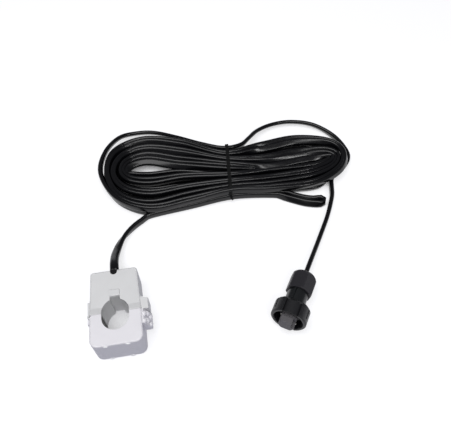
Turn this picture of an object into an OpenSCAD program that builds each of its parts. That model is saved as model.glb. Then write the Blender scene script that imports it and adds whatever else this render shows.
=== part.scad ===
// Split-core current transformer on a flat two-core lead that ends in a round sealed connector.
// The housing lies on its back. The conductor window runs along +Z through the origin, the lead
// leaves the housing towards +Y, and the jaw swings open about a pin on the -X side.

/* [Housing] */
// Width of the housing at the parting plane
case_w = 30; // [26:0.5:36]
// Width of the housing at the lead end
end_w = 28.2; // [25:0.2:34]
// Window centre to the lead end
body_len = 28.9; // [28:0.1:34]
// Window centre to the jaw end
jaw_len = 18.7; // [17:0.1:22]
// Depth of the body
body_depth = 20.8; // [18:0.1:25]
// How far the jaw stands proud of the body's front
jaw_rise = 1.2; // [0:0.1:2]
// Wall of the moulded shells
wall = 1.4; // [1:0.1:1.8]
// Rounding of the outer edges
edge_r = 0.9; // [0.4:0.1:1.2]
// Corner radius of the body at the lead end
body_corner_r = 2; // [1.3:0.1:4]
// Corner radius of the jaw end
jaw_corner_r = 4.5; // [2:0.1:4.8]
// Window centre to the parting plane
parting_y = 1; // [0:0.1:1.6]
// Gap between the closed jaw and the body
parting_gap = 0.15; // [0.05:0.01:0.3]
// Length of the ramp from the body's front up to the jaw's
ramp_len = 3.7; // [2:0.1:5]

/* [Window] */
// Width of the conductor window
window_w = 16; // [12:0.1:17]
// Length of the conductor window
window_len = 19.6; // [19:0.1:20.4]
// Wall round the window
window_wall = 1.2; // [0.8:0.1:1.4]
// Width of the slot for a cable tie
slot_w = 6; // [3:0.1:7]
// Depth of the slot beyond the window
slot_depth = 1.2; // [0.5:0.1:2]
// Length of the tongue above the slot
tongue_len = 4.3; // [3:0.1:6]
// How far the tongue stands proud
tongue_rise = 1.1; // [0.6:0.1:1.6]
// How far the jaw's black liner lies behind the rim
liner_setback = 0.35; // [0.1:0.05:0.5]
// Wall of the liner
liner_wall = 0.9; // [0.6:0.05:1]

/* [Hinge] */
// Radius of the hinge pin
pin_r = 0.6; // [0.4:0.05:0.8]
// Radial running clearance on the pin
pin_play = 0.05; // [0.02:0.01:0.08]
// Radius of the knuckles
knuckle_r = 1.3; // [1.1:0.05:1.4]
// Height of the lowest knuckle's foot
hinge_foot = 1.2; // [0.5:0.1:3]
// Axial gap between knuckles
knuckle_gap = 0.2; // [0.15:0.05:0.4]
// How far the hinge pads stand proud of the side
pad_rise = 1.1; // [0.5:0.1:1.2]
// Length of the pad on the body
body_pad_len = 9; // [5:0.5:14]
// Length of the pad on the jaw
jaw_pad_len = 4.6; // [3:0.1:8]

/* [Latch] */
// How far the catch block stands out at the front
catch_out = 4.4; // [3.4:0.1:5]
// Length of the catch block at the side wall
catch_len = 8.3; // [6:0.1:11]
// Height above the back where the catch block begins
catch_foot = 8.4; // [5:0.1:9.4]
// How far the thumb grip stands out at its foot
grip_out = 5; // [4.4:0.1:6]
// Length of the thumb grip
grip_len = 8.8; // [7:0.1:13]
// Height above the back where the thumb grip begins
grip_foot = 9.2; // [6:0.1:10]
// Radius of the grip's studs
stud_r = 1.7; // [1:0.1:1.9]
// Thickness of the latch hook
hook_t = 1.3; // [0.9:0.1:1.5]
// Reach of the hook into the catch
hook_reach = 2.6; // [1.5:0.1:3]
// Clearance round the hook
hook_play = 0.3; // [0.25:0.05:0.5]

/* [Core and winding] */
// Space for the winding in front of the bar and behind it
winding_side = 1.7; // [1.4:0.1:3]
// Thickness of the core's legs and bar
core_t = 3.5; // [2.5:0.1:3.5]
// Space for the winding on each side of the bar
winding_space = 2.1; // [1.6:0.1:2.4]
// Length of the bobbin
bobbin_len = 16.8; // [12:0.1:18]
// Thickness of the circuit board
board_t = 1; // [0.8:0.1:1.6]
// Room between the circuit board and the end wall
board_play = 1.48; // [1:0.02:2]
// Height of the circuit board above the back
board_z = 6; // [5:0.1:8]
// Thickness of the jaw's leaf spring
spring_t = 0.3; // [0.2:0.05:0.4]
// General assembly clearance
fit_gap = 0.12; // [0.08:0.01:0.2]

/* [Lead] */
// Width of the flat cable
cable_w = 5.6; // [5:0.1:6]
// Thickness of the flat cable
cable_t = 3; // [2.6:0.1:3.2]
// Depth of the cable's exit below the body's front
exit_depth = 3.8; // [3.4:0.1:5]
// Width of the notch above the cable
notch_w = 4.2; // [3:0.1:5]
// Height of the wound hank
hank_h = 12; // [11:0.5:16]
// Thickness of the wire tie
tie_t = 1.2; // [0.8:0.1:1.6]

/* [Connector] */
// Radius of the coupling ring
ring_r = 11; // [10.4:0.1:12]
// Length of the coupling ring
ring_len = 10.9; // [10.4:0.1:15]
// Wall of the coupling ring
ring_wall = 2.1; // [1.8:0.1:2.3]
// Radius of the neck
neck_r = 6.5; // [5.8:0.1:7]
// Free length of the neck
neck_len = 9.1; // [6:0.1:11]
// Gland nut's size across its corners
nut_corners = 17.2; // [16:0.1:19]
// Length of the gland nut
nut_len = 15; // [14:0.5:20]
// Length of the nut's dome
dome_len = 5; // [3:0.1:6]
// Running clearance between neck and ring
ring_play = 0.3; // [0.25:0.05:0.4]
// How far the contact tongue stands out of the ring
tongue_out = 3.6; // [2:0.1:5]
// Width of the contact tongue
insert_w = 9.6; // [8:0.1:10]
// Height of the contact tongue
insert_h = 8.2; // [7:0.1:9]
// Radius of the contact pins
contact_r = 0.8; // [0.6:0.05:0.9]

/* [Hidden] */
$fn = 48;
facet_fn = 32;
eps = 0.01;

white = "WhiteSmoke";
black = "DimGray";

// Housing
jaw_depth = body_depth + jaw_rise;
jaw_y = parting_y - parting_gap;
window_r = window_w / 2;
window_c = window_len / 2 - window_r;
slot_end = window_len / 2 + slot_depth;
lip = wall - 0.2;
ramp_top = 0.3;
function half_w(y) =
    case_w / 2 - (case_w - end_w) / 2 * (y - parting_y) / (body_len - parting_y);

// Hinge
hinge_x = -case_w / 2 - 0.2;
hinge_top = body_depth - hinge_foot;
knuckle_len = (hinge_top - hinge_foot - 2 * knuckle_gap) / 3;
jaw_knuckle_z = hinge_foot + knuckle_len + knuckle_gap;
pocket_r = knuckle_r + 0.2;

// Core
liner_rim = 0.45;
spring_w = 10;
core_z = wall + winding_side;
core_depth = body_depth - 2 * core_z;
leg_in = window_r + liner_setback + liner_wall + fit_gap;
bar_y = slot_end + window_wall + fit_gap + winding_space;
bar_top = bar_y + core_t;
leg_out = min(
    leg_in + core_t,
    half_w(bar_top) - wall - fit_gap,
    case_w / 2 - wall - 2 * fit_gap - liner_rim
);
pole_x = (leg_in + leg_out) / 2;
pole_w = leg_out - leg_in;
jaw_bar_y = -window_len / 2 - liner_setback - liner_wall - fit_gap;
jaw_bar_end = jaw_bar_y - core_t;
flange_t = 0.8;
former_t = 0.6;
winding_gap = 0.17;
bar_mid = [0, (bar_y + bar_top) / 2, body_depth / 2];
former_y = core_t + 2 * fit_gap + 2 * former_t;
former_z = core_depth + 2 * fit_gap + 2 * former_t;
winding_y = core_t + 2 * winding_space;

// Board and what stands on it
board_y = bar_top + winding_space + 0.4;
board_len = body_len - wall - board_play - board_y;
board_top = board_z + board_t;
part_y = board_y + 1.6;
resistor_x = -9.4;
resistor_r = 1.2;
resistor_len = 6.4;
diode_x = 3.4;
diode_r = 0.9;
diode_len = 4.4;
core_wire_r = 0.6;
core_wire_x = 1.4;

// Cable exit and the moulded relief in it
exit_z = body_depth - exit_depth;
notch_len = 3.2;
relief_top = body_depth - 0.9;
relief_in = wall + fit_gap;
relief_flange = 1.2;
relief_tail = 1;

// Jaw's end cover and its tabs
end_cover_w = case_w - 2 * jaw_corner_r - 1;
tab_w = 2.6;
tab_t = 0.9;
tab_out = 0.3;
cover_gap = 0.05;
tab_x = 6.2;
tab_z = [wall - tab_t, jaw_depth - wall];

// Latch
grip_top = jaw_depth - 1;
grip_lip = 0.8;
grip_knee = grip_foot + 2.4;
grip_chamfer = 1;
stud_sink = 0.55;
hook_x = case_w / 2 + 1.2;
hook_z = catch_foot + 1.9;
hook_len = 6.6;

// Connector, measured along its axis from the point where the cable enters
neck_end = nut_len + neck_len;
ring_start = neck_end - 0.2;
ring_end = ring_start + ring_len;
ring_back = 1.9;
flange_s = ring_start + ring_back + ring_play;
flange_len = 1.4;
skirt_len = 2.4;
ring_bore_r = ring_r - ring_wall;
ring_bevel = 1.7;
recess_w = 9.6;
recess_r = ring_bore_r + 0.8;
recess_foot_r = neck_r + ring_play + 0.8;
recess_ramp = 2.2;
scallop_r = 1.5;
scallop_depth = 0.4;
flange_r = ring_bore_r - 0.9;
skirt_r = flange_r - 0.8;
skirt_wall = 1.2;
carrier_r = skirt_r - skirt_wall;
contact_play = 0.06;
contact_back = 0.7;
nose_len = 1.6;
contact_at = [[-2.6, -carrier_r + 1.5], [2.6, carrier_r - 1.5]];
spigot_r = neck_r - 0.7;
nut_turn = -10;
nut_chamfer = 0.6;
neck_rib = [0.6, 1.1];
neck_rib_at = 200;
nut_end = 2.2;
seal_len = 4.2;
spigot_start = 6.6;
o_ring_t = 0.8;
entry = [117.5, 12.3, 8.4];
entry_az = 237.5;
entry_tilt = 6;

// Route of the free cable: x, y, z and the turn of its flat side about its own run
lead_route = [
    [0, 28.9, 17, 0], [0, 32, 16.7, 0], [-0.2, 35.5, 15.5, 0], [-0.3, 39, 13.6, 0],
    [-0.3, 43, 11, 0], [0, 47, 8.4, 5], [0.6, 51, 6.1, 15], [1.7, 55, 4.6, 30],
    [3.4, 59, 3.8, 50], [6, 63, 3.3, 70], [9.6, 67, 3, 85], [14, 70.8, 2.9, 90],
    [19, 74, 2.9, 90], [25, 77, 2.9, 90]
];
tail_route = [
    [153.6, 73.4, 2.9, 90], [151.6, 68.6, 2.9, 90], [148.6, 62.4, 2.9, 90],
    [144.6, 55, 2.9, 90], [140, 47.6, 2.9, 90], [135.3, 40.2, 3.2, 90], [130.6, 32.8, 4.3, 90],
    [126, 25.6, 6.2, 90], [122.4, 20, 7.5, 90], [117.5, 12.3, 8.4, 90]
];
// Hank: centres and radii of its two lobes, the loose loops and the waist between them
hank_left = [30, 113, 37];
hank_right = [137, 105, 36];
hank_waist = [83, 104, 21];
tie_w = 2.6;
tie_gap = tie_w + 0.4;
tie_bed = tie_gap + 1;
hank_eye_x = [18, 40];
hank_eye_y = 112;
hank_eye_r = 6;

// ---------- shared shapes ----------

// Post with rounded rims, used as a corner of a hull
module rim_post(r, z1) {
    rim = [for (a = [0 : 30 : 90]) [r - edge_r + edge_r * sin(a), edge_r * (1 - cos(a))]];
    rotate_extrude($fn = facet_fn) polygon(concat(
        [[0, 0]], rim, [for (i = [3 : -1 : 0]) [rim[i][0], z1 - rim[i][1]]], [[0, z1]]
    ));
}

// Window outline, grown by g
module window_2d(g = 0) {
    for (s = [-1, 1]) translate([0, s * window_c]) circle(window_r + g);
    translate([-window_r - g, -window_c]) square([window_w + 2 * g, 2 * window_c]);
}

// Window with the tie slot, grown by g
module slotted_window_2d(g = 0) {
    window_2d(g);
    translate([-slot_w / 2 - g, 0]) square([slot_w + 2 * g, slot_end + g]);
}

// Room inside the body's walls, shrunk by g
module body_room_2d(g = 0) {
    y0 = parting_y + wall + g;
    y1 = body_len - wall - g;
    difference() {
        polygon([
            [-half_w(y0) + wall + g, y0], [half_w(y0) - wall - g, y0],
            [half_w(y1) - wall - g, y1], [-half_w(y1) + wall + g, y1]
        ]);
        slotted_window_2d(window_wall + g);
    }
}

// Rounded bar through the end wall for the flat cable, grown by g
module flat_cable_2d(g = 0) {
    r = cable_t / 2 + g;
    for (s = [-1, 1]) translate([s * (cable_w - cable_t) / 2, 0]) circle(r);
    translate([-(cable_w - cable_t) / 2, -r]) square([cable_w - cable_t, 2 * r]);
}

// Notch in the front above the cable, with a round end, shrunk by g
module notch_2d(g = 0) {
    y0 = body_len - notch_len + notch_w / 2;
    translate([0, y0]) circle(d = notch_w - 2 * g);
    translate([-notch_w / 2 + g, y0]) square([notch_w - 2 * g, body_len + (g > 0 ? 0 : 1) - y0]);
}

module knuckle(z, len, r = knuckle_r) {
    translate([hinge_x, parting_y, z]) cylinder(r = r, h = len);
}

// ---------- housing, body side ----------

module side_posts(y, z1) {
    r = edge_r + 0.1;
    for (s = [-1, 1]) translate([s * (half_w(y) - r), y, 0]) rim_post(r, z1);
}

// Outer form of the body: a tapered block, and the ramp up to the jaw's height
module body_block() {
    back = parting_y - 3;
    top = parting_y + ramp_top;
    foot = top + ramp_len;
    hull() {
        side_posts(back, body_depth);
        for (s = [-1, 1])
            translate([s * (end_w / 2 - body_corner_r), body_len - body_corner_r, 0])
                rim_post(body_corner_r, body_depth);
    }
    hull() {
        side_posts(back, jaw_depth);
        side_posts(top, jaw_depth);
    }
    hull() {
        side_posts(top, jaw_depth);
        side_posts(foot, body_depth);
    }
}

// Catch block beside the parting plane, with a sloped top, that takes the latch hook
module catch_block() {
    y0 = parting_y + 0.1;
    x0 = case_w / 2 - wall;
    x1 = case_w / 2 + catch_out;
    hull() {
        translate([x0, y0, catch_foot]) cube([eps, catch_len, body_depth - catch_foot - 0.5]);
        translate([x1 - 0.6, y0, catch_foot + 0.6])
            cube([eps, catch_len - 1.5, body_depth - catch_foot - 1.2]);
        translate([x1, y0, catch_foot + 1.2])
            cube([eps, catch_len - 2.2, body_depth - catch_foot - 2.6]);
    }
}

// Tongue above the tie slot, with a round nose over the slot
module tie_tongue() {
    w = slot_w - 0.2;
    y0 = slot_end + 0.1;
    z1 = body_depth + tongue_rise;
    nose = tongue_rise / 2;
    hull() {
        translate([-w / 2, y0 + nose, z1 - nose]) rotate([0, 90, 0]) cylinder(r = nose, h = w);
        translate([-w / 2, y0 + tongue_len - nose, z1 - nose])
            rotate([0, 90, 0]) cylinder(r = nose, h = w);
        translate([-w / 2, y0, body_depth - wall / 2]) cube([w, tongue_len, eps]);
    }
}

module body_case() {
    color(white) difference() {
        union() {
            intersection() {
                body_block();
                translate([-case_w, parting_y, -1]) cube([2 * case_w, body_len, jaw_depth + 2]);
            }
            catch_block();
            tie_tongue();
            // hinge pad and its two knuckles
            translate([-case_w / 2 - pad_rise, parting_y, hinge_foot])
                cube([pad_rise + wall, body_pad_len, hinge_top - hinge_foot]);
            knuckle(hinge_foot, knuckle_len);
            knuckle(jaw_knuckle_z + knuckle_len + knuckle_gap, knuckle_len);
        }
        // room for the core, the winding and the board
        translate([0, 0, -eps]) linear_extrude(body_depth - wall + eps) body_room_2d();
        translate([0, 0, -1]) linear_extrude(jaw_depth + 2) slotted_window_2d();
        // openings for the two pole faces
        for (s = [-1, 1]) translate([s * pole_x, parting_y + wall / 2, body_depth / 2])
            cube([pole_w + 2 * fit_gap, wall + 2, core_depth + 2 * fit_gap], center = true);
        // cable exit through the end wall, and the notch above it
        translate([0, body_len + 1, exit_z]) rotate([90, 0, 0])
            linear_extrude(wall + 2) flat_cable_2d(0.3);
        translate([0, 0, exit_z]) linear_extrude(body_depth) notch_2d();
        // pocket for the jaw's knuckle, and the bores for the pin
        knuckle(jaw_knuckle_z - knuckle_gap, knuckle_len + 2 * knuckle_gap, pocket_r);
        knuckle(0, jaw_depth, pin_r + eps);
        // pocket for the latch hook
        translate([hook_x - hook_play, parting_y - 1, hook_z - hook_play])
            cube([hook_t + 2 * hook_play, 1 + hook_reach + hook_play, hook_len + 2 * hook_play]);
    }
}

module back_cover() {
    color(white) linear_extrude(wall) body_room_2d(fit_gap);
}

// ---------- core, winding and board ----------

// Half of the split core: two legs from the pole faces to a bar
module core_half(pole_y, bar0, bar1) {
    y0 = min(pole_y, bar0, bar1);
    y1 = max(pole_y, bar0, bar1);
    color("SlateGray") translate([0, 0, core_z]) linear_extrude(core_depth) {
        for (s = [-1, 1]) translate([s * pole_x, (y0 + y1) / 2])
            square([pole_w, y1 - y0], center = true);
        translate([-leg_out, min(bar0, bar1)]) square([2 * leg_out, abs(bar1 - bar0)]);
    }
}

module body_core() {
    core_half(parting_y, bar_y, bar_top);
}

// Bobbin on the bar: a square tube between two flanges
module bobbin() {
    color("Black") translate(bar_mid) difference() {
        union() {
            cube([bobbin_len, former_y, former_z], center = true);
            for (s = [-1, 1]) translate([s * (bobbin_len - flange_t) / 2, 0, 0]) cube([
                flange_t, winding_y - 0.2, body_depth - 2 * wall - 2 * fit_gap
            ], center = true);
        }
        cube([bobbin_len + 2, core_t + 2 * fit_gap, core_depth + 2 * fit_gap], center = true);
    }
}

module secondary_winding() {
    len = bobbin_len - 2 * flange_t - 2 * fit_gap;
    color("Peru") translate(bar_mid) difference() {
        cube([len, winding_y - 0.8, body_depth - 2 * wall - 2 * winding_gap], center = true);
        cube([len + 2, former_y + 2 * eps, former_z + 2 * eps], center = true);
    }
}

module circuit_board() {
    w = 2 * (half_w(board_y + board_len) - wall - fit_gap);
    color("SeaGreen") translate([-w / 2, board_y, board_z]) cube([w, board_len, board_t]);
}

// Part with a lead at each end that lies on the board
module axial_part(x, r, len, lead_r) {
    lead = 0.95;
    translate([x, part_y, board_top + r]) rotate([0, 90, 0]) {
        cylinder(r = r, h = len);
        translate([0, 0, -lead]) cylinder(r = lead_r, h = len + 2 * lead);
    }
}

module burden_resistor() {
    color("SteelBlue") axial_part(resistor_x, resistor_r, resistor_len, 0.35);
}

module clamp_diode() {
    color("IndianRed") axial_part(diode_x, diode_r, diode_len, 0.3);
}

// Moulded-on relief at the cable's end, flanged behind the end wall, with a boss in the notch
module cable_clamp() {
    color(black) translate([0, body_len, exit_z]) rotate([90, 0, 0]) {
        linear_extrude(relief_in) flat_cable_2d(0.18);
        translate([0, 0, relief_in]) linear_extrude(relief_flange) flat_cable_2d(0.7);
        translate([0, 0, relief_in + relief_flange]) linear_extrude(relief_tail) flat_cable_2d();
    }
    color(black) translate([0, 0, exit_z]) linear_extrude(relief_top - exit_z) notch_2d(fit_gap);
}

// The two cores of the cable, bared and soldered to the board
module lead_wires() {
    r = core_wire_r;
    y = body_len - relief_in - relief_flange - relief_tail - r;
    color("Firebrick") for (s = [-1, 1]) translate([s * core_wire_x, y, 0]) {
        translate([0, 0, board_top]) cylinder(r = r, h = exit_z - board_top);
        translate([0, 0, exit_z]) sphere(r = r);
        translate([0, 0, exit_z]) rotate([-90, 0, 0]) cylinder(r = r, h = r);
    }
}

module hinge_pin() {
    color("Silver") knuckle(hinge_foot + 0.3, hinge_top - hinge_foot - 0.6, pin_r);
}

// ---------- housing, jaw side ----------

module jaw_block() {
    back = parting_y + 3;
    hull() for (s = [-1, 1]) {
        translate([s * (case_w / 2 - jaw_corner_r), -jaw_len + jaw_corner_r, 0])
            rim_post(jaw_corner_r, jaw_depth);
        translate([s * (case_w / 2 - edge_r - 0.1), back, 0]) rim_post(edge_r + 0.1, jaw_depth);
    }
}

// Room inside the jaw's walls
module jaw_room_2d(g = 0) {
    r = jaw_corner_r - wall;
    y0 = -jaw_len + wall + g;
    w = case_w / 2 - wall - g;
    for (s = [-1, 1]) translate([s * (case_w / 2 - jaw_corner_r), -jaw_len + jaw_corner_r])
        circle(r - g);
    translate([-case_w / 2 + jaw_corner_r, y0])
        square([case_w - 2 * jaw_corner_r, parting_y + 2 - y0]);
    translate([-w, -jaw_len + jaw_corner_r])
        square([2 * w, parting_y + 2 + jaw_len - jaw_corner_r]);
}

// Thumb grip: a lug that widens towards its foot, with round studs in staggered rows
module thumb_grip() {
    x0 = case_w / 2 - wall;
    x1 = case_w / 2 + grip_out;
    rise = grip_top - grip_knee;
    run = grip_out - grip_lip;
    translate([0, jaw_y, 0]) rotate([90, 0, 0]) linear_extrude(grip_len) polygon([
        [x0, grip_top], [case_w / 2 + grip_lip, grip_top], [x1, grip_knee],
        [x1, grip_foot + grip_chamfer], [x1 - grip_chamfer, grip_foot], [x0, grip_foot]
    ]);
    pitch = grip_len / 2;
    for (col = [0 : 2], row = [0 : 1]) {
        down = (col + 0.45) / 3;
        along = pitch * (row + (col % 2 == 0 ? 0.62 : 0.4));
        translate([
            case_w / 2 + grip_lip + run * down - stud_sink, jaw_y - along, grip_top - rise * down
        ]) sphere(r = stud_r, $fn = 24);
    }
}

module jaw_case() {
    color(white) difference() {
        union() {
            intersection() {
                jaw_block();
                translate([-case_w, -2 * jaw_len, -1])
                    cube([2 * case_w, 2 * jaw_len + jaw_y, jaw_depth + 2]);
            }
            thumb_grip();
            translate([hook_x, jaw_y - 1, hook_z])
                cube([hook_t, 1 + parting_gap + hook_reach, hook_len]);
            // hinge pad and knuckle
            translate([-case_w / 2 - pad_rise, parting_y - jaw_pad_len, hinge_foot])
                cube([pad_rise + wall, jaw_pad_len - parting_gap, hinge_top - hinge_foot]);
            knuckle(jaw_knuckle_z, knuckle_len);
        }
        translate([0, 0, wall]) linear_extrude(jaw_depth - 2 * wall) jaw_room_2d();
        translate([0, 0, -1]) linear_extrude(jaw_depth + 2) window_2d();
        // opening of the end cover and the notches of its four tabs
        translate([-end_cover_w / 2, -jaw_len - 1, wall])
            cube([end_cover_w, wall + 2, jaw_depth - 2 * wall]);
        end_tabs(fit_gap);
        // pockets for the body's knuckles, and the bore for the pin
        knuckle(-1, hinge_foot + knuckle_len + knuckle_gap + 1, pocket_r);
        knuckle(jaw_knuckle_z + knuckle_len, jaw_depth, pocket_r);
        knuckle(0, jaw_depth, pin_r + pin_play);
    }
}

// End cover of the jaw, held by two tabs at the front and two at the back
module end_tabs(g = 0) {
    for (s = [-1, 1], z = tab_z)
        translate([s * tab_x - tab_w / 2 - g, -jaw_len - tab_out - g, z - g])
            cube([tab_w + 2 * g, tab_out + tab_t + 2 * g, tab_t + 2 * g]);
}

module jaw_end_cover() {
    color(white) {
        translate([-end_cover_w / 2 + cover_gap, -jaw_len, wall + cover_gap])
            cube([end_cover_w - 2 * cover_gap, wall, jaw_depth - 2 * wall - 2 * cover_gap]);
        // each tab reaches a little past the cover's edge, so that the two are one
        for (s = [-1, 1], i = [0, 1])
            translate([s * tab_x - tab_w / 2, -jaw_len - tab_out, tab_z[i] + (i == 0 ? 0.1 : -0.2)])
                cube([tab_w, tab_out + tab_t - 0.1, tab_t + 0.1]);
    }
}

// Black liner: the jaw's wall of the window, with a flange round each pole face
module jaw_liner() {
    z0 = wall + fit_gap;
    len = jaw_depth - 2 * z0;
    in_g = liner_setback;
    out_g = liner_setback + liner_wall;
    w = case_w / 2 - wall - fit_gap;
    color("Black") difference() {
        translate([0, 0, z0]) linear_extrude(len) difference() {
            union() {
                window_2d(out_g);
                translate([-w, jaw_y - lip]) square([2 * w, lip]);
            }
            window_2d(in_g);
            translate([-case_w, jaw_y]) square([2 * case_w, body_len]);
        }
        for (s = [-1, 1]) translate([s * pole_x, jaw_y, body_depth / 2])
            cube([pole_w + fit_gap, 4 * lip, core_depth + 2 * fit_gap], center = true);
        // room for the hinge knuckles
        knuckle(0, jaw_depth, pocket_r + fit_gap);
    }
}

module jaw_core() {
    core_half(jaw_y, jaw_bar_end, jaw_bar_y);
}

// Bowed leaf that presses the jaw's core against the body's
module jaw_spring() {
    room = jaw_bar_end + jaw_len - wall - 2 * eps;
    half = 7;
    bow = room - spring_t;
    r = (half * half + bow * bow) / (2 * bow);
    color("Silver") translate([0, 0, (body_depth - spring_w) / 2]) linear_extrude(spring_w)
    intersection() {
        translate([0, -jaw_len + wall + eps + r]) difference() {
            circle(r, $fn = 160);
            circle(r - spring_t, $fn = 160);
        }
        translate([-half, -jaw_len + wall]) square([2 * half, room + eps]);
    }
}

// ---------- cable ----------

// Section of the flat cable: eight points, turned by t about the run
function section(w, h, t) = [for (i = [0 : 7])
    let (a = 22.5 + 45 * i, x = w / 2 * cos(a) / cos(22.5), z = h / 2 * sin(a) / cos(22.5))
    [x * cos(t) - z * sin(t), x * sin(t) + z * cos(t)]];

function heading(p, i) =
    let (d = [for (k = [0 : 1]) p[min(i + 1, len(p) - 1)][k] - p[max(i - 1, 0)][k]])
    d / norm(d);

// Tube of flat section swept along a route of [x, y, z, turn]
module flat_tube(route) {
    n = len(route);
    points = [for (i = [0 : n - 1])
        let (h = heading(route, i), s = section(cable_w, cable_t, route[i][3]))
        for (q = s) [route[i][0] + q[0] * h[1], route[i][1] - q[0] * h[0], route[i][2] + q[1]]];
    sides = [for (i = [0 : n - 2], k = [0 : 7])
        let (a = 8 * i + k, b = 8 * i + (k + 1) % 8)
        each [[a, b, b + 8], [a, b + 8, a + 8]]];
    first = [[for (k = [7 : -1 : 0]) k]];
    last = [[for (k = [0 : 7]) 8 * (n - 1) + k]];
    polyhedron(points, concat(sides, first, last), convexity = 4);
}

module cable_lead() {
    color(black) flat_tube(lead_route);
}

module cable_tail() {
    color(black) flat_tube(tail_route);
}

// Outline of the hank: two lobes and the strands that run between them
module hank_2d() {
    difference() {
        for (p = [hank_left, hank_right]) hull() {
            translate([p[0], p[1]]) circle(p[2], $fn = 48);
            translate([hank_waist[0] - tie_bed / 2, hank_waist[1] - hank_waist[2]])
                square([tie_bed, 2 * hank_waist[2]]);
        }
        // eye of the left lobe
        hull() for (x = hank_eye_x) translate([x, hank_eye_y]) circle(hank_eye_r, $fn = 24);
    }
}

module cable_hank() {
    color(black) difference() {
        linear_extrude(hank_h) hank_2d();
        difference() {
            translate([hank_waist[0] - tie_gap / 2, hank_waist[1] - hank_left[2], -1])
                cube([tie_gap, 2 * hank_left[2], hank_h + 2]);
            translate([hank_waist[0] - tie_bed / 2, hank_waist[1] - hank_waist[2] + tie_t, tie_t])
                cube([tie_bed, 2 * (hank_waist[2] - tie_t), hank_h - 2 * tie_t]);
        }
    }
}

// Wire tie round the waist of the hank
module hank_tie() {
    y0 = hank_waist[1] - hank_waist[2];
    len = 2 * hank_waist[2];
    color(black) translate([hank_waist[0] - tie_w / 2, y0, 0]) difference() {
        cube([tie_w, len, hank_h]);
        translate([-1, tie_t, tie_t]) cube([tie_w + 2, len - 2 * tie_t, hank_h - 2 * tie_t]);
    }
}

// ---------- connector ----------

// Puts a part drawn along +Z from the cable entry at its place
module on_connector() {
    translate(entry) rotate([0, 0, entry_az]) rotate([0, 90 - entry_tilt, 0]) children();
}

// Flat hole for the cable, its wide side upright
module cable_slot(s, len, g) {
    translate([0, 0, s]) linear_extrude(len) flat_cable_2d(g);
}

module gland_nut() {
    r = nut_corners / 2 - 0.25;
    dome = [for (a = [0 : 15 : 90]) [r - dome_len * (1 - sin(a)), dome_len * (1 - cos(a))]];
    rim = [[r, nut_len - nut_chamfer], [r - nut_chamfer, nut_len], [0, nut_len]];
    color(black) on_connector() difference() {
        intersection() {
            rotate([0, 0, nut_turn]) cylinder(d = nut_corners, h = nut_len, $fn = 6);
            rotate_extrude() polygon(concat([[0, 0]], dome, rim));
        }
        cable_slot(-1, dome_len, 0.3);
        translate([0, 0, nut_end]) cylinder(r = spigot_r + fit_gap, h = nut_len);
    }
}

module gland_seal() {
    color("Black") on_connector() difference() {
        translate([0, 0, nut_end + eps]) cylinder(r = spigot_r - 0.1, h = seal_len);
        cable_slot(0, 8, 0.02);
    }
}

module connector_body() {
    color(black) on_connector() difference() {
        union() {
            translate([0, 0, spigot_start]) cylinder(r = spigot_r, h = nut_len);
            translate([0, 0, nut_len + fit_gap])
                cylinder(r = neck_r, h = flange_s - nut_len - fit_gap);
            // guide rib along the neck
            rotate([0, 0, neck_rib_at]) translate([neck_r - 0.4, -neck_rib[1] / 2, nut_len + fit_gap])
                cube([0.4 + neck_rib[0], neck_rib[1], neck_len - 1]);
            translate([0, 0, flange_s]) cylinder(r = flange_r, h = flange_len);
            translate([0, 0, flange_s]) cylinder(r = skirt_r, h = flange_len + skirt_len);
        }
        translate([0, 0, 5]) cylinder(r = neck_r - 2.6, h = flange_s);
        translate([0, 0, flange_s]) cylinder(r = carrier_r, h = 10);
    }
}

module connector_o_ring() {
    color("Black") on_connector() translate([0, 0, flange_s + flange_len + o_ring_t + eps])
        rotate_extrude() translate([skirt_r + o_ring_t / 2 + 0.42, 0]) circle(o_ring_t, $fn = 24);
}

// Insulating carrier: a plug in the skirt and a blocky keyed tongue through the ring's mouth
module contact_carrier() {
    s0 = flange_s + eps;
    base = flange_len + skirt_len + 1;
    reach = ring_end + tongue_out - s0;
    h = insert_h;
    color("Gray") on_connector() difference() {
        union() {
            translate([0, 0, s0]) cylinder(r = carrier_r - fit_gap, h = base);
            intersection() {
                translate([-h / 2, -insert_w / 2, s0]) cube([h, insert_w, reach]);
                translate([0, 0, s0]) {
                    cylinder(r = carrier_r - fit_gap, h = reach - nose_len);
                    translate([0, 0, reach - nose_len])
                        cylinder(r1 = carrier_r - fit_gap, r2 = insert_w / 2, h = nose_len);
                }
            }
            // keys on the upper face
            for (y = [-2.9, 0.4]) translate([-h / 2 - 0.7, y, s0 + base])
                cube([1.2, 1.4, ring_end - s0 - base]);
        }
        // step along one side
        translate([-h, insert_w / 2 - 2, ring_end - 1]) cube([h + 1, 3, tongue_out + 3]);
        // bores of the contacts, which run on as grooves in the tongue
        for (p = contact_at) translate([p[0], p[1], s0 - 1])
            cylinder(r = contact_r + contact_play, h = reach + 2);
    }
}

module contact_pins() {
    len = ring_end - flange_s - 0.6 - contact_back;
    color("Gold") on_connector() for (p = contact_at) translate([p[0], p[1], flange_s + 0.6]) {
        cylinder(r = contact_r, h = len - contact_r);
        translate([0, 0, len - contact_r]) sphere(r = contact_r, $fn = 24);
    }
}

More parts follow.
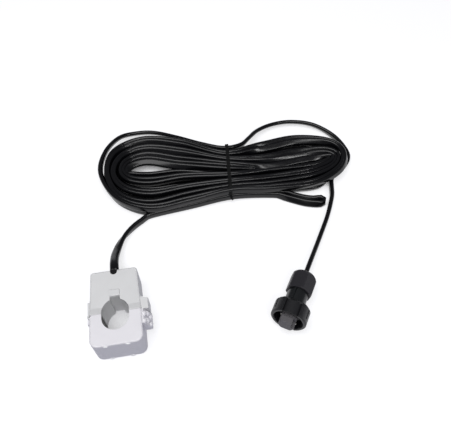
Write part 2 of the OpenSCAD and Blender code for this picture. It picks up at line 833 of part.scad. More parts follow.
// Coupling ring: two grip lobes with a wide recess above and below, and a back web that runs on
// the neck
module coupling_ring() {
    color(black) on_connector() difference() {
        translate([0, 0, ring_start]) rotate_extrude() polygon([
            [neck_r + ring_play, 0], [ring_r - ring_bevel, 0], [ring_r, ring_bevel],
            [ring_r, ring_len - 0.8], [ring_r - 0.8, ring_len], [ring_bore_r + 0.3, ring_len],
            [ring_bore_r, ring_len - 0.6], [ring_bore_r, ring_back], [neck_r + ring_play, ring_back]
        ]);
        for (s = [-1, 1]) difference() {
            translate([s > 0 ? 3 : -ring_r - 3, -recess_w / 2, ring_start - 1])
                cube([ring_r, recess_w, ring_len + 2]);
            translate([0, 0, ring_start]) rotate_extrude() polygon([
                [0, -2], [recess_foot_r, -2], [recess_foot_r, 0],
                [recess_r, recess_ramp], [recess_r, ring_len + 2],
                [0, ring_len + 2]
            ]);
        }
        for (s = [-1, 1], i = [-1 : 1]) rotate([0, 0, 90 * s + 30 * i])
            translate([ring_r + scallop_r - scallop_depth, 0, ring_start - 1])
                cylinder(r = scallop_r, h = ring_len - 1.4);
    }
}

body_case();
back_cover();
body_core();
bobbin();
secondary_winding();
circuit_board();
burden_resistor();
clamp_diode();
lead_wires();
cable_clamp();
hinge_pin();
jaw_case();
jaw_liner();
jaw_core();
jaw_spring();
jaw_end_cover();
cable_lead();
cable_hank();
cable_tail();
hank_tie();
gland_nut();
gland_seal();
connector_body();
connector_o_ring();
contact_carrier();
contact_pins();
coupling_ring();
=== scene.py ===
import math
import random

import bmesh
import bpy
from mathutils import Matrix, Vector


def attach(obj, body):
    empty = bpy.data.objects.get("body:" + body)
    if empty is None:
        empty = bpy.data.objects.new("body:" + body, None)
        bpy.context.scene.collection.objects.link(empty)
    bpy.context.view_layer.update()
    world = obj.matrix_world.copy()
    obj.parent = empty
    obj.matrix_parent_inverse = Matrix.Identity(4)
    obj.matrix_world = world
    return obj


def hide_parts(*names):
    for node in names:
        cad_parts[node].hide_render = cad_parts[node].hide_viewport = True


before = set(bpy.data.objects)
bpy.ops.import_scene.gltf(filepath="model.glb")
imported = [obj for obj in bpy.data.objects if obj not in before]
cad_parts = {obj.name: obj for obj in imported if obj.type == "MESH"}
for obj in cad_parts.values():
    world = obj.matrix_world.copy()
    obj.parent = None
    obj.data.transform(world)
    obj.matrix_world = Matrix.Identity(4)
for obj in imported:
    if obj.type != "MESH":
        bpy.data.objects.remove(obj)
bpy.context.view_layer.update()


# ---------- Table, light and camera ----------
# A white table top seen from above at an angle, under a large softbox overhead, two small ones
# in front and an even, slightly cool room light. The table is pure white to the eye and keeps
# the contact shadow, with painted shade where it is closed in.

MM = 0.001
camera_at = Vector((0.0445, -0.1197, 0.2932))
camera_to = Vector((0.0763, 0.0722, 0.0))
lens_mm = 39.9
sensor_mm = 36
clip_near = 0.01
table_size = 4.0
table_hex = "#b1b1b5"
table_glow = 0.66
# How much of the sky within reach a spot of the table sees where it counts as closed in and where
# as open: first for its white, which fades there as painted shade, then for the light that it
# sends back, which is painted brighter there as painted bounce light
sky_reach = 0.03
painted_shade_range = (0.06, 0.18)
painted_bounce_range = (0.3, 0.6)
# painted bounce light: the table's colour for the light it sends back, closed in and in the open
painted_bounce_shut_hex = "#f8f8fc"
painted_bounce_open_hex = "#7c7e98"
room_hex = "#eef0f6"
room_strength = 0.22
# Softboxes: place, width, length and power in watts
softboxes = {
    "softbox_top": ((-0.12, -0.06, 1.05), 0.80, 0.70, 7.6),
    "softbox_front": ((0.16, -0.48, 0.82), 0.26, 0.16, 1.2),
    "softbox_right": ((0.44, -0.53, 0.63), 0.12, 0.12, 1.0),
}


def linear(hex_colour):
    """Linear RGBA of an sRGB hex colour."""
    channels = [int(hex_colour[i:i + 2], 16) / 255 for i in (1, 3, 5)]
    return [c / 12.92 if c <= 0.04045 else ((c + 0.055) / 1.055) ** 2.4 for c in channels] + [1.0]


def add(tree, kind, inputs=None, **settings):
    """Adds a node to a tree, with its settings, and its inputs as values or as links."""
    node = tree.nodes.new(kind)
    for name, value in settings.items():
        setattr(node, name, value)
    for name, value in (inputs or {}).items():
        socket = next(s for i, s in enumerate(node.inputs) if name in (i, s.identifier, s.name))
        if isinstance(value, bpy.types.NodeSocket):
            tree.links.new(value, socket)
        else:
            socket.default_value = value
    return node


def put(name, mesh):
    """Links a mesh to the scene as an object that stands at the origin."""
    piece = bpy.data.objects.new(name, mesh)
    bpy.context.scene.collection.objects.link(piece)
    return piece


def table_laminate():
    """White laminate: matt, and a full white to the eye and in what mirrors it.

    The white fades where the table is closed in, as inside the window and under the cable, as
    painted shade. What it sends back is painted strong there and weak in the open, as painted
    bounce light, so that undersides stay grey.
    """
    material = bpy.data.materials.new("table_laminate")
    material.use_nodes = True
    tree = material.node_tree
    tree.nodes.clear()
    path = add(tree, "ShaderNodeLightPath")
    seen = add(tree, "ShaderNodeMath", {0: path.outputs["Is Camera Ray"],
                                        1: path.outputs["Is Glossy Ray"]}, operation="MAXIMUM")
    sky = add(tree, "ShaderNodeAmbientOcclusion", {"Distance": sky_reach}, samples=8)
    # painted shade: the table's white glow fades with ambient occlusion where it is closed in
    painted_shade_fade = add(tree, "ShaderNodeMapRange", {"Value": sky.outputs["AO"],
                                            "From Min": painted_shade_range[0],
                                            "From Max": painted_shade_range[1]})
    glow = add(tree, "ShaderNodeMath", {0: painted_shade_fade.outputs["Result"], 1: table_glow},
               operation="MULTIPLY")
    white = add(tree, "ShaderNodeBsdfDiffuse", {"Color": linear(table_hex)})
    lift = add(tree, "ShaderNodeEmission", {"Color": linear("#ffffff"),
                                            "Strength": glow.outputs[0]})
    bright = add(tree, "ShaderNodeAddShader", {0: white.outputs[0], 1: lift.outputs[0]})
    # painted bounce light: the colour for light the table sends back is brighter where it is closed
    # in
    painted_bounce_share = add(tree, "ShaderNodeMapRange", {"Value": sky.outputs["AO"],
                                                 "From Min": painted_bounce_range[0],
                                                 "From Max": painted_bounce_range[1]})
    shade = add(tree, "ShaderNodeMix", {"Factor_Float": painted_bounce_share.outputs["Result"],
                                        "A_Color": linear(painted_bounce_shut_hex),
                                        "B_Color": linear(painted_bounce_open_hex)}, data_type="RGBA")
    bounce = add(tree, "ShaderNodeBsdfDiffuse", {"Color": shade.outputs[2]})
    mix = add(tree, "ShaderNodeMixShader", {0: seen.outputs[0], 1: bounce.outputs[0],
                                            2: bright.outputs[0]})
    add(tree, "ShaderNodeOutputMaterial", {"Surface": mix.outputs[0]})
    return material


table_mesh = bpy.data.meshes.new("table")
half = table_size / 2
table_mesh.from_pydata(
    [(-half, -half, 0), (half, -half, 0), (half, half, 0), (-half, half, 0)], [], [(0, 1, 2, 3)])
table_mesh.materials.append(table_laminate())
put("table", table_mesh)

room = bpy.data.worlds.new("room")
room.use_nodes = True
room.node_tree.nodes["Background"].inputs["Color"].default_value = linear(room_hex)
room.node_tree.nodes["Background"].inputs["Strength"].default_value = room_strength
bpy.context.scene.world = room

for name, (at, width, length, watts) in softboxes.items():
    lamp = bpy.data.lights.new(name, "AREA")
    lamp.shape = "RECTANGLE"
    lamp.size = width
    lamp.size_y = length
    lamp.energy = watts
    stand = bpy.data.objects.new(name, lamp)
    stand.location = at
    stand.rotation_euler = (camera_to - Vector(at)).to_track_quat("-Z", "Y").to_euler()
    bpy.context.scene.collection.objects.link(stand)

camera = bpy.data.cameras.new("camera")
camera.lens = lens_mm
camera.sensor_width = sensor_mm
camera.clip_start = clip_near
camera_stand = bpy.data.objects.new("camera", camera)
camera_stand.location = camera_at
camera_stand.rotation_euler = (camera_to - camera_at).to_track_quat("-Z", "Y").to_euler()
bpy.context.scene.collection.objects.link(camera_stand)
bpy.context.scene.camera = camera_stand
bpy.context.scene.view_settings.view_transform = "Standard"


# ---------- Moulded housing ----------
# Body, back cover, jaw and end cover are injection-moulded in pale grey ABS. The mould's fine
# spark finish makes them satin, with soft edges and hardly any grain to see.

# The mould's grain is drawn coarser than the real one, which is too fine to show
abs_grain = 0.35 * MM
abs_relief = 0.03 * MM
abs_cloud = 9 * MM
abs_ior = 1.54


def moulded_abs(name, hex_dark, hex_light, rough=(0.38, 0.52)):
    """Satin ABS: a fine even grain from the mould and a faint cloudiness in the colour."""
    material = bpy.data.materials.new(name)
    material.use_nodes = True
    tree = material.node_tree
    shader = tree.nodes["Principled BSDF"]
    place = add(tree, "ShaderNodeTexCoord").outputs["Object"]
    cloud = add(tree, "ShaderNodeTexNoise", {"Vector": place, "Scale": 1 / abs_cloud, "Detail": 3})
    shade = add(tree, "ShaderNodeMix", {"Factor_Float": cloud.outputs["Fac"],
                                        "A_Color": linear(hex_dark),
                                        "B_Color": linear(hex_light)}, data_type="RGBA")
    tree.links.new(shade.outputs[2], shader.inputs["Base Color"])
    grain = add(tree, "ShaderNodeTexNoise", {"Vector": place, "Scale": 1 / abs_grain, "Detail": 2})
    gloss = add(tree, "ShaderNodeMapRange", {"Value": grain.outputs["Fac"],
                                             "To Min": rough[0], "To Max": rough[1]})
    tree.links.new(gloss.outputs["Result"], shader.inputs["Roughness"])
    bump = add(tree, "ShaderNodeBump", {"Height": grain.outputs["Fac"], "Strength": 0.12,
                                        "Distance": abs_relief})
    tree.links.new(bump.outputs["Normal"], shader.inputs["Normal"])
    shader.inputs["IOR"].default_value = abs_ior
    return material


def dress(node, material):
    """Gives a solid of the frame its finish."""
    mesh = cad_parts[node].data
    mesh.materials.clear()
    mesh.materials.append(material)


abs_body = moulded_abs("abs_grey", "#cfcfd0", "#d9d9da")
abs_jaw = moulded_abs("abs_pale_grey", "#dcdadf", "#e6e4e9")
for node in ("body_case", "back_cover"):
    dress(node, abs_body)
for node in ("jaw_case", "jaw_end_cover"):
    dress(node, abs_jaw)


# ---------- Grip studs ----------
# Six round studs on the thumb grip, in staggered rows, moulded in one with the jaw. Their tops are
# glossier than the surface round them, and a lighter grey that is a painted highlight.

stud_r = 1.78 * MM
stud_columns = 3
stud_rows = 2
stud_pitch = 4.4 * MM
# Where the grip's upper edge begins, and how its face falls from there to its lower edge
stud_top = Vector((0.01525, 0.00085, 0.021))
stud_fall = Vector((0.0042, 0, -0.0094))
# The first column's place down the face, in columns, and where even and odd ones start along it,
# in pitches
stud_inset = 0.45
stud_stagger = (0.62, 0.4)
polished = (0.2, 0.3)


def dome_tree(name, material):
    """Geometry Nodes: a stretched dome on each point of the mesh that carries them."""
    tree = bpy.data.node_groups.new(name, "GeometryNodeTree")
    for kind, label, way in (("Geometry", "Geometry", "INPUT"), ("Float", "Radius", "INPUT"),
                             ("Vector", "Stretch", "INPUT"), ("Geometry", "Geometry", "OUTPUT")):
        tree.interface.new_socket(label, in_out=way, socket_type="NodeSocket" + kind)
    source = add(tree, "NodeGroupInput")
    points = add(tree, "GeometryNodeMeshToPoints", {"Mesh": source.outputs["Geometry"]})
    dome = add(tree, "GeometryNodeMeshIcoSphere", {"Radius": source.outputs["Radius"],
                                                   "Subdivisions": 3})
    placed = add(tree, "GeometryNodeInstanceOnPoints", {"Points": points.outputs["Points"],
                                                        "Instance": dome.outputs["Mesh"],
                                                        "Scale": source.outputs["Stretch"]})
    solid = add(tree, "GeometryNodeRealizeInstances", {"Geometry": placed.outputs["Instances"]})
    even = add(tree, "GeometryNodeSetShadeSmooth", {"Geometry": solid.outputs["Geometry"]})
    finish = add(tree, "GeometryNodeSetMaterial", {"Geometry": even.outputs["Geometry"],
                                                   "Material": material})
    add(tree, "NodeGroupOutput", {"Geometry": finish.outputs["Geometry"]})
    return tree


def grow(name, places, tree, values):
    """Plain mesh made by a Geometry Nodes tree on points, with the tree's inputs by name."""
    mesh = bpy.data.meshes.new("places")
    mesh.from_pydata(places, [], [])
    carrier = put("carrier", mesh)
    modifier = carrier.modifiers.new("grow", "NODES")
    modifier.node_group = tree
    for socket in tree.interface.items_tree:
        if socket.in_out == "INPUT" and socket.name in values:
            modifier[socket.identifier] = values[socket.name]
    bpy.context.view_layer.update()
    shaped = carrier.evaluated_get(bpy.context.evaluated_depsgraph_get())
    result = bpy.data.meshes.new_from_object(shaped)
    bpy.data.objects.remove(carrier)
    result.name = name
    return put(name, result)


stud_places = []
for column in range(stud_columns):
    down = (column + stud_inset) / stud_columns
    for row in range(stud_rows):
        along = stud_pitch * (row + stud_stagger[column % 2])
        stud_places.append(stud_top + stud_fall * down + Vector((0, -along, 0)))
# painted highlight: the studs' lighter grey stands in for the light they catch
abs_stud_painted_highlight = moulded_abs("abs_pale_grey_painted_highlight", "#e2e0e5", "#eceaef", polished)
studs = grow("grip_studs", stud_places, dome_tree("studs", abs_stud_painted_highlight),
             {"Radius": stud_r, "Stretch": (1, 1, 1)})
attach(studs, "jaw")


# ---------- End cover tabs ----------
# Four tabs snap the end cover into the jaw, two along each long edge. Each shows as a small
# rounded bump, glossier than the cover and near white as a painted highlight.

tab_half = 1.45 * MM
tab_stretch = (1, 0.42, 0.5)
tab_x = 6.2 * MM
tab_y = -18.75 * MM
tab_heights = (1.2 * MM, 20.9 * MM)

tab_places = [(side * tab_x, tab_y, height) for side in (-1, 1) for height in tab_heights]
# painted highlight: the tabs' near white stands in for the light they catch
abs_tab_painted_highlight = moulded_abs("abs_white_painted_highlight", "#f0f0f2", "#f8f8fa", polished)
tabs = grow("end_cover_tabs", tab_places, dome_tree("tabs", abs_tab_painted_highlight),
            {"Radius": tab_half, "Stretch": tab_stretch})
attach(tabs, "jaw")


# ---------- Magnetic core and winding ----------
# Two ground ferrite halves close round the window. The upper one sits in a moulded bobbin, and
# the winding on it is fine enamelled copper wire. A pin joins the jaw to the body.

# The real wire is 0.15 mm thick, and its turns are drawn as coarse as this so that they show
wire_pitch = 1.9 * MM
wire_ridge = 0.1 * MM
# Radians to the metre in a wave pattern of scale 1
wave_rate = 20


def grained(name, hex_dark, hex_light, grain, rough, relief=0.0, metallic=0.0):
    """Surface with one grain, of a size in metres, in its colour, its gloss and its relief.

    The real grains are finer, and these are as coarse as they need to be to show.
    """
    material = bpy.data.materials.new(name)
    material.use_nodes = True
    tree = material.node_tree
    shader = tree.nodes["Principled BSDF"]
    place = add(tree, "ShaderNodeTexCoord").outputs["Object"]
    noise = add(tree, "ShaderNodeTexNoise", {"Vector": place, "Scale": 1 / grain, "Detail": 3})
    shade = add(tree, "ShaderNodeMix", {"Factor_Float": noise.outputs["Fac"],
                                        "A_Color": linear(hex_dark),
                                        "B_Color": linear(hex_light)}, data_type="RGBA")
    tree.links.new(shade.outputs[2], shader.inputs["Base Color"])
    gloss = add(tree, "ShaderNodeMapRange", {"Value": noise.outputs["Fac"],
                                             "To Min": rough[0], "To Max": rough[1]})
    tree.links.new(gloss.outputs["Result"], shader.inputs["Roughness"])
    if relief:
        bump = add(tree, "ShaderNodeBump", {"Height": noise.outputs["Fac"], "Strength": 0.4,
                                            "Distance": relief})
        tree.links.new(bump.outputs["Normal"], shader.inputs["Normal"])
    shader.inputs["Metallic"].default_value = metallic
    return material


def enamelled_wire():
    """Copper wire under clear red-brown enamel, close wound: fine bright ridges, turn by turn."""
    material = grained("copper_enamelled", "#6e2f14", "#a8582c", 2 * MM, (0.22, 0.34))
    tree = material.node_tree
    place = add(tree, "ShaderNodeTexCoord").outputs["Object"]
    turns = add(tree, "ShaderNodeTexWave", {"Vector": place, "Distortion": 0.4,
                                            "Scale": math.tau / (wave_rate * wire_pitch)},
                bands_direction="X")
    ridge = add(tree, "ShaderNodeBump", {"Height": turns.outputs["Fac"], "Strength": 0.6,
                                         "Distance": wire_ridge})
    tree.links.new(ridge.outputs["Normal"], tree.nodes["Principled BSDF"].inputs["Normal"])
    return material


# Ground ferrite is a dull dark grey, like stoneware
ferrite = grained("ferrite_ground", "#26262a", "#3a3a3e", 0.3 * MM, (0.35, 0.55), 0.02 * MM)
# Moulded PBT is a satin black that hardly mirrors anything
pbt_black = grained("pbt_black", "#0c0c0e", "#161618", 0.5 * MM, (0.4, 0.55), 0.03 * MM)
# Drawn steel is bright, with a soft grain in its shine
steel_bright = grained("steel_drawn", "#a8a8a8", "#c4c4c6", 0.6 * MM, (0.2, 0.35), metallic=1.0)
for node in ("body_core", "jaw_core"):
    dress(node, ferrite)
for node in ("bobbin", "jaw_liner"):
    dress(node, pbt_black)
for node in ("hinge_pin", "jaw_spring"):
    dress(node, steel_bright)
dress("secondary_winding", enamelled_wire())


# ---------- Circuit board ----------
# A small glass-epoxy board under glossy green solder mask carries the burden resistor, in shiny
# blue lacquer, and a clamping diode in smooth glass. Two satin red PVC wires run from it to the
# cable.

dress("circuit_board", grained("solder_mask_green", "#0e3f22", "#15502d", 1.5 * MM, (0.2, 0.35)))
dress("burden_resistor", grained("lacquer_blue", "#3a627e", "#4d7b9a", 1 * MM, (0.15, 0.25)))
dress("clamp_diode", grained("diode_glass", "#a04a2a", "#c46a40", 1 * MM, (0.05, 0.12)))
dress("lead_wires", grained("pvc_red", "#8f1414", "#a81e1e", 1 * MM, (0.3, 0.45)))


# ---------- Flat two-core cable ----------
# One length of flat twin lead in black PVC, from the housing to the connector. Nearly all of it
# is wound on edge in two layers, one on the other, with a single loose turn outside.

cable_w = 5.6 * MM
cable_t = 3.0 * MM
cable_groove = 0.14 * MM
# Waves in the flat sides, and patches of more and of less gloss on them
pvc_wave = 14 * MM
pvc_wave_h = 0.5 * MM
pvc_film = 6 * MM
pvc_gloss = (0.15, 0.27)
pvc_ior = 1.39
# Rings of points of the mesh along the cable, and points of the curve between two of a route
ring_step = 2.6 * MM
curve_steps = 16

# x, y and z in metres, and the turn of the flat side in degrees, from the housing to the hank and
# from the hank to the connector
lead_route = [
    (0, 0.0289, 0.017, 0), (0, 0.032, 0.0167, 0), (-0.0002, 0.0355, 0.0155, 0),
    (-0.0003, 0.039, 0.0136, 0), (-0.0003, 0.043, 0.011, 0), (0, 0.047, 0.0084, 5),
    (0.0006, 0.051, 0.0061, 15), (0.0017, 0.055, 0.0046, 30), (0.0034, 0.059, 0.0038, 50),
    (0.006, 0.063, 0.0033, 70), (0.0096, 0.067, 0.003, 85), (0.014, 0.0708, 0.0029, 90),
    (0.019, 0.074, 0.0029, 90), (0.025, 0.077, 0.0029, 90)
]
tail_route = [
    (0.1536, 0.0734, 0.0029, 90), (0.1516, 0.0686, 0.0029, 90), (0.1486, 0.0624, 0.0029, 90),
    (0.1446, 0.055, 0.0029, 90), (0.140, 0.0476, 0.0029, 90), (0.1353, 0.0402, 0.0032, 90),
    (0.1306, 0.0328, 0.0043, 90), (0.126, 0.0256, 0.0062, 90), (0.1224, 0.020, 0.0075, 90),
    (0.1175, 0.0123, 0.0084, 90)
]

# The hank is in mm. Each turn has 16 stations, clockwise from the left end, of which the waist's
# front is number 12, and each layer has lanes, from the outside in
stations = 16
front = 12
layer_z = (3.0, 8.6)
lanes = 7
lower_turns = 6
upper_turns = 7
# Place and reach of the waist, and how far the tie lifts the strands there
waist_x = 83
waist_reach = 14
tie_lift = 0.7
# Outermost and innermost lane of the upper layer, and how far those of the lower layer lie from
# them
outer_lane = [
    (-6.6, 113), (0.6, 136.4), (25, 146.4), (53, 139), (83, 121.3), (111, 126.6),
    (138, 129.6), (164, 121), (172.6, 105.5), (165, 89), (143, 79.2), (111, 79.8),
    (83, 82.9), (53, 80), (25, 77.6), (3, 90.4)
]
inner_lane = [
    (11, 113.5), (16, 118.4), (28, 118.6), (50, 110.6), (83, 102.8), (111, 101.8),
    (138, 103.6), (154, 103.8), (158.6, 101.4), (154, 98.6), (139, 97.2), (111, 97.6),
    (83, 101), (50, 108.2), (28, 109.4), (16, 110.4)
]
lower_inner_shift = [
    (-1, 1), (0, 3.2), (0, 4.3), (0, 2.4), (0, 0), (0, 0), (0, 0), (-3, 0), (-6, 0),
    (-5, 1), (-2, 1), (0, 0), (0, 0), (0, 1), (0, 2), (0, 2)
]
lower_outer_shift = {7: (-3, -2), 8: (-6, 0), 9: (-8, -0.6), 10: (2, -1.8), 11: (0, 1.5)}
# How much closer the outer lanes lie than the inner ones, by station, where it isn't 1
crowd = {0: 1.1, 12: 1.15, 13: 1.3, 14: 1.35, 15: 1.25}
# Short fold that sticks out at the front, with height and turn: the cable runs out and comes
# back beside itself
front_fold = [
    (112, 80.2, 2.9, 95), (119, 77.2, 2.8, 112), (126, 73.6, 2.6, 130), (133, 70.2, 2.5, 140),
    (139.5, 68, 2.6, 128), (144.4, 67.2, 2.8, 106), (147, 69.1, 2.9, 90),
    (145, 71.6, 2.9, 74), (139.5, 71.8, 2.7, 50), (133, 73.8, 2.6, 42), (126, 77.2, 2.8, 58),
    (118, 80.8, 2.9, 78)
]
# Last turn, loose on the left, and its wide arc round the right end, with height and turn
loose_turn = [
    (-7.6, 113.5, 8.5, 100), (-4.4, 133.6, 8.2, 80), (6.2, 149.8, 5.5, 60),
    (20, 154.2, 3.8, 55), (34, 152.2, 4, 55), (51, 142.4, 6, 60), (68, 130.4, 8.6, 70),
    (83, 122.9, 9.6, 80), (96, 124.6, 8.8, 75), (104, 132.2, 7, 65), (112.4, 140.8, 4.8, 52),
    (125.4, 146.6, 3.4, 50), (141, 147, 3.4, 50), (157.4, 141, 3.4, 55), (170, 127, 3.2, 75),
    (175.2, 110.5, 2.9, 100), (173.2, 101, 2.9, 100), (166.5, 94.4, 2.9, 95),
    (160.2, 90.4, 2.9, 90), (156.8, 86, 2.9, 90), (155.2, 80, 2.9, 90)
]
# How many strands of the upper layer lie side by side in the right lobe, by station. Those inside
# them go down in a stack, and the others stand a little steeper
spread = {5: 4.4, 6: 4.2, 7: 4.4, 8: 5.6, 9: 5.4, 10: 5.4, 11: 5.6}
spread_steeper = 7
stack_step = 1.5
# Turn of the innermost upper strand, by station, where it lies nearly flat, and how many lanes
# from the last one it still counts as innermost
flat_turn = {0: 34, 1: 36, 2: 23, 3: 46, 6: 40, 7: 36, 8: 34, 9: 40}
flat_lanes = 0.95
# How loosely the strands lie: their sway between the lanes, and the least and the most by which a
# station is turned, moved sideways and raised
sway = 0.25
sway_rate = 2.7
loose_lean = (-6, 17)
loose_slip = (-0.45, 0.45)
loose_rise = (-0.1, 0.9)
# Share of that which is left in the run to the fold, in the lower layer and, sideways, at the waist
run_loose = 0.2
lower_loose = 0.3
waist_slip = 0.3
# The lower layer starts between the outer two lanes. Strands that lie close are one pitch apart,
# and none comes nearer to the table than the gap
first_lane = 0.5
strand_pitch = 2.95
floor_gap = 0.1


def lane_place(station, lane, lower=False):
    """Point of a lane at a station of the hank, in mm."""
    k = station % stations
    a, b = Vector(outer_lane[k]), Vector(inner_lane[k])
    if lower:
        a += Vector(lower_outer_shift.get(k, (0, 0)))
        b += Vector(lower_inner_shift[k])
    side_by_side = lanes if lower else spread.get(k, lanes)
    return a.lerp(b, min(1, max(lane, 0) / side_by_side) ** crowd.get(k, 1))


def lean(station, lane, lower):
    """Angle of the flat side above the table that lets the strands of a layer lie close."""
    along = lane_place(station + 1, lane, lower) - lane_place(station - 1, lane, lower)
    across = lane_place(station, 1, lower) - lane_place(station, 0, lower)
    pitch = abs(along.normalized().cross(across))
    return math.degrees(math.asin(min(1, strand_pitch / max(pitch, 0.1))))


def hank_route():
    """Points of the whole hank in mm: the run to the fold, the two layers and the loose turn."""
    shake = random.Random(5)
    points = []

    def lay(station, lane, z, clockwise=True, lower=False, loose=1.0):
        k = station % stations
        place = lane_place(station, lane + sway * loose * math.sin(sway_rate * lane), lower)
        lift = tie_lift * math.exp(-((place.x - waist_x) / waist_reach) ** 2)
        turn = lean(station, lane, lower) + loose * shake.uniform(*loose_lean)
        if not lower and k in spread:
            z -= stack_step * max(0, lane - spread[k])
            turn = min(turn, 90) if lane > spread[k] else turn + spread_steeper
        if not lower and lane > lanes - flat_lanes:
            turn = flat_turn.get(k, turn)
        turn = 180 - turn if clockwise else turn
        slip = loose * shake.uniform(*loose_slip)
        rise = loose * shake.uniform(*loose_rise)
        if k % (stations // 2) == stations // 4:
            slip *= waist_slip
        points.append((place.x + slip, place.y + slip, z + lift + rise, turn))

    # to the fold, against the way of the turns
    for station in (front + 1, front):
        lay(station, 0, layer_z[0], clockwise=False, lower=True, loose=run_loose)
    points.extend(front_fold)
    # lower layer, from the outside in
    count = stations * lower_turns
    for n in range(count):
        lane = first_lane + n * (lanes - first_lane) / count
        lay(front + n, lane, layer_z[0], lower=True, loose=lower_loose)
    # up to the second layer, in the innermost lane
    climb = range(front, stations)
    for i, station in enumerate(climb):
        share = (i + 1) / (len(climb) + 1)
        lay(station, lanes, layer_z[0] + (layer_z[1] - layer_z[0]) * share, lower=share < 0.5)
    # upper layer, from the inside out
    count = stations * upper_turns
    for n in range(count):
        lay(n, lanes - n * lanes / count, layer_z[1])
    points.extend(loose_turn)
    # no strand goes into the table, however it is turned
    half_flat, half_round = (cable_w - cable_t) / MM / 2, cable_t / MM / 2
    route = []
    for x, y, z, turn in points:
        least = floor_gap + half_round + half_flat * abs(math.sin(math.radians(turn)))
        route.append((x * MM, y * MM, MM * max(z, least), turn))
    return route


def smooth(points, step):
    """Evenly spaced points on a Catmull-Rom curve through a route's, and the curve's length."""
    fine = []
    for i in range(len(points) - 1):
        p = [points[max(i - 1, 0)], points[i], points[i + 1], points[min(i + 2, len(points) - 1)]]
        for k in range(curve_steps):
            u = k / curve_steps
            weights = (
                -0.5 * u + u ** 2 - 0.5 * u ** 3, 1 - 2.5 * u ** 2 + 1.5 * u ** 3,
                0.5 * u + 2 * u ** 2 - 1.5 * u ** 3, -0.5 * u ** 2 + 0.5 * u ** 3
            )
            fine.append([sum(w * q[c] for w, q in zip(weights, p)) for c in range(4)])
    fine.append(list(points[-1]))
    total = [0.0]
    for a, b in zip(fine, fine[1:]):
        total.append(total[-1] + (Vector(b[:3]) - Vector(a[:3])).length)
    count = max(2, round(total[-1] / step))
    even, j = [], 0
    for i in range(count + 1):
        goal = total[-1] * i / count
        while j < len(total) - 2 and total[j + 1] < goal:
            j += 1
        share = (goal - total[j]) / max(total[j + 1] - total[j], 1e-12)
        even.append([a + (b - a) * share for a, b in zip(fine[j], fine[j + 1])])
    return even, total[-1]


def twin_section():
    """Outline of the flat cable: two round ends, and a shallow groove along each flat side."""
    r = cable_t / 2
    reach = (cable_w - cable_t) / 2
    right = [(reach + r * math.cos(math.radians(a)), r * math.sin(math.radians(a)))
             for a in range(-90, 91, 30)]
    left = [(-x, -y) for x, y in right]
    return right + [(0, r - cable_groove)] + left + [(0, -r + cable_groove)]


def sweep(name, route, outline):
    """Closed tube along a route of x, y, z and turn, kept level by the route's own heading."""
    bm = bmesh.new()
    rings = []
    for i, (x, y, z, turn) in enumerate(route):
        a, b = route[max(i - 1, 0)], route[min(i + 1, len(route) - 1)]
        ahead = (Vector(b[:3]) - Vector(a[:3])).normalized()
        side = ahead.cross(Vector((0, 0, 1))).normalized()
        up = side.cross(ahead)
        c, s = math.cos(math.radians(turn)), math.sin(math.radians(turn))
        wide, thin = side * c + up * s, up * c - side * s
        rings.append([bm.verts.new(Vector((x, y, z)) + wide * p + thin * q) for p, q in outline])
    n = len(outline)
    for a, b in zip(rings, rings[1:]):
        for k in range(n):
            bm.faces.new((a[k], a[(k + 1) % n], b[(k + 1) % n], b[k]))
    bm.faces.new(rings[0][::-1])
    bm.faces.new(rings[-1])
    bmesh.ops.recalc_face_normals(bm, faces=bm.faces)
    for face in bm.faces:
        face.smooth = len(face.verts) == 4
    mesh = bpy.data.meshes.new(name)
    bm.to_mesh(mesh)
    bm.free()
    return put(name, mesh)


def cable_pvc():
    """Soft black PVC: extruded and glossy, with long faint waves that break up the reflections."""
    material = bpy.data.materials.new("pvc_black_gloss")
    material.use_nodes = True
    tree = material.node_tree
    shader = tree.nodes["Principled BSDF"]
    place = add(tree, "ShaderNodeTexCoord").outputs["Object"]
    wave = add(tree, "ShaderNodeTexNoise", {"Vector": place, "Scale": 1 / pvc_wave, "Detail": 1})
    film = add(tree, "ShaderNodeTexNoise", {"Vector": place, "Scale": 1 / pvc_film, "Detail": 2})
    shade = add(tree, "ShaderNodeMix", {"Factor_Float": film.outputs["Fac"],
                                        "A_Color": linear("#050507"),
                                        "B_Color": linear("#0c0c0f")}, data_type="RGBA")
    tree.links.new(shade.outputs[2], shader.inputs["Base Color"])
    gloss = add(tree, "ShaderNodeMapRange", {"Value": film.outputs["Fac"],
                                             "To Min": pvc_gloss[0], "To Max": pvc_gloss[1]})
    tree.links.new(gloss.outputs["Result"], shader.inputs["Roughness"])
    bump = add(tree, "ShaderNodeBump", {"Height": wave.outputs["Fac"], "Strength": 0.3,
                                        "Distance": pvc_wave_h})
    tree.links.new(bump.outputs["Normal"], shader.inputs["Normal"])
    shader.inputs["IOR"].default_value = pvc_ior
    return material


pvc_black = cable_pvc()
cable_route, cable_length = smooth(lead_route + hank_route() + tail_route, ring_step)
cable = sweep("flat_cable", cable_route, twin_section())
cable.data.materials.append(pvc_black)
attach(cable, "housing")
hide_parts("cable_lead", "cable_hank", "cable_tail")
dress("cable_clamp", pvc_black)


# ---------- Wire tie ----------
# A flat black tie with a steel wire in it holds the waist of the hank. It is a tight matt band
# round all the strands, with its ends twisted into a short knot at the front.

# The band, in mm: x and y of its two ends across the hank, heights, and the radius of its corners
tie_w = 2.4
tie_t = 0.5
tie_back = (85.9, 125.6)
tie_front = (81.6, 82.2)
tie_low = 0.8
tie_high = 12.7
tie_corner = 4.0
tie_steps = 8
# It sags a little between the strands, which breaks up the light on it
tie_sag = 0.25
sag_rate = 5
tie_dust = 1.2 * MM
tie_rough = 0.75
tie_ior = 1.3
# The twisted ends, in metres and degrees, with nearly two half turns in them
twist_w = 1.6 * MM
twist_t = 0.6 * MM
twist_step = 0.2 * MM
twist_route = [
    (0.0812, 0.0835, 0.0064, 0), (0.0816, 0.0818, 0.0060, 60), (0.0822, 0.0806, 0.0052, 180),
    (0.0827, 0.08, 0.0046, 260), (0.083, 0.0797, 0.0042, 330)
]


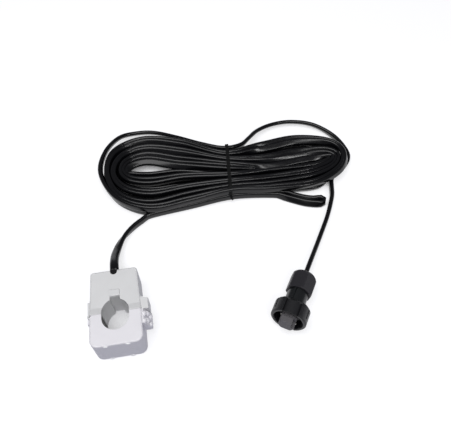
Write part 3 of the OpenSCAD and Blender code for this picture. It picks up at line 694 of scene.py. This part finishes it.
def tie_loop():
    """Points of the band's inner line in mm, each with the direction that faces outwards."""
    low, high = tie_low + tie_corner, tie_high - tie_corner
    near, far = Vector(tie_front), Vector(tie_back)
    corners = [(near, low, 180), (far, low, 270), (far, high, 0), (near, high, 90)]
    points = []
    for at, height, start in corners:
        inward = -1 if at is far else 1
        for k in range(tie_steps + 1):
            angle = math.radians(start + 90 * k / tie_steps)
            dip = tie_sag * math.sin(sag_rate * k + start)
            y = at.y + inward * tie_corner + tie_corner * math.cos(angle)
            z = height + (tie_corner + dip) * math.sin(angle)
            share = (y - near.y) / (far.y - near.y)
            points.append((Vector((near.x + (far.x - near.x) * share, y, z)),
                           Vector((0, math.cos(angle), math.sin(angle)))))
    return points


def tie_band():
    """Closed flat band along the loop."""
    bm = bmesh.new()
    corners = [(-1, 0), (1, 0), (1, 1), (-1, 1)]
    rings = []
    for place, outward in tie_loop():
        rings.append([bm.verts.new((place + Vector((a * tie_w / 2, 0, 0))
                                    + outward * b * tie_t) * MM) for a, b in corners])
    for a, b in zip(rings, rings[1:] + rings[:1]):
        for k in range(4):
            bm.faces.new((a[k], a[(k + 1) % 4], b[(k + 1) % 4], b[k]))
    bmesh.ops.recalc_face_normals(bm, faces=bm.faces)
    mesh = bpy.data.meshes.new("hank_tie_wire")
    bm.to_mesh(mesh)
    bm.free()
    return put("hank_tie_wire", mesh)


def tie_coating():
    """Matt black plastic on the tie: dull and a little dusty, so that it shows no highlight."""
    material = bpy.data.materials.new("tie_black_matt")
    material.use_nodes = True
    tree = material.node_tree
    shader = tree.nodes["Principled BSDF"]
    place = add(tree, "ShaderNodeTexCoord").outputs["Object"]
    dust = add(tree, "ShaderNodeTexNoise", {"Vector": place, "Scale": 1 / tie_dust, "Detail": 3})
    shade = add(tree, "ShaderNodeMix", {"Factor_Float": dust.outputs["Fac"],
                                        "A_Color": linear("#020202"),
                                        "B_Color": linear("#0a0a0b")}, data_type="RGBA")
    tree.links.new(shade.outputs[2], shader.inputs["Base Color"])
    shader.inputs["Roughness"].default_value = tie_rough
    shader.inputs["IOR"].default_value = tie_ior
    return material


tie_black = tie_coating()
tie = tie_band()
half_w, half_t = twist_w / 2, twist_t / 2
twist = sweep("hank_tie_twist", smooth(twist_route, twist_step)[0],
              [(-half_w, -half_t), (half_w, -half_t), (half_w, half_t), (-half_w, half_t)])
for piece in (tie, twist):
    piece.data.materials.append(tie_black)
    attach(piece, "housing")
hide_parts("hank_tie")


# ---------- Connector ----------
# Gland nut, connector body and coupling ring are moulded in black glass-filled nylon, with the
# grain of a spark-eroded mould. The keyed tongue is dark grey, and it holds plated contacts.

nylon_grain = 0.5 * MM
# The nut is a lighter, greyer satin black than the ring, which is a dull black. The neck
# between them is smooth and shiny, and the tongue is matt
nylon_nut = grained("nylon_black_satin", "#16151a", "#242228", nylon_grain, (0.4, 0.55),
                    0.05 * MM)
nylon_ring = grained("nylon_black", "#09090c", "#141418", nylon_grain, (0.36, 0.52), 0.06 * MM)
nylon_neck = grained("nylon_black_gloss", "#0a0c0e", "#141618", nylon_grain, (0.24, 0.36),
                     0.02 * MM)
nylon_tongue = grained("nylon_dark_grey", "#4c4a4d", "#605e61", nylon_grain, (0.5, 0.65),
                       0.05 * MM)
# Moulded rubber is black and dull, and plated nickel shines
rubber_black = grained("rubber_black", "#08080a", "#121214", 0.8 * MM, (0.5, 0.65), 0.02 * MM)
plate_nickel = grained("nickel_plated", "#d8d6d0", "#e8e6e2", 0.8 * MM, (0.12, 0.2),
                       metallic=1.0)
dress("gland_nut", nylon_nut)
dress("connector_body", nylon_neck)
dress("coupling_ring", nylon_ring)
dress("contact_carrier", nylon_tongue)
dress("contact_pins", plate_nickel)
for node in ("gland_seal", "connector_o_ring"):
    dress(node, rubber_black)
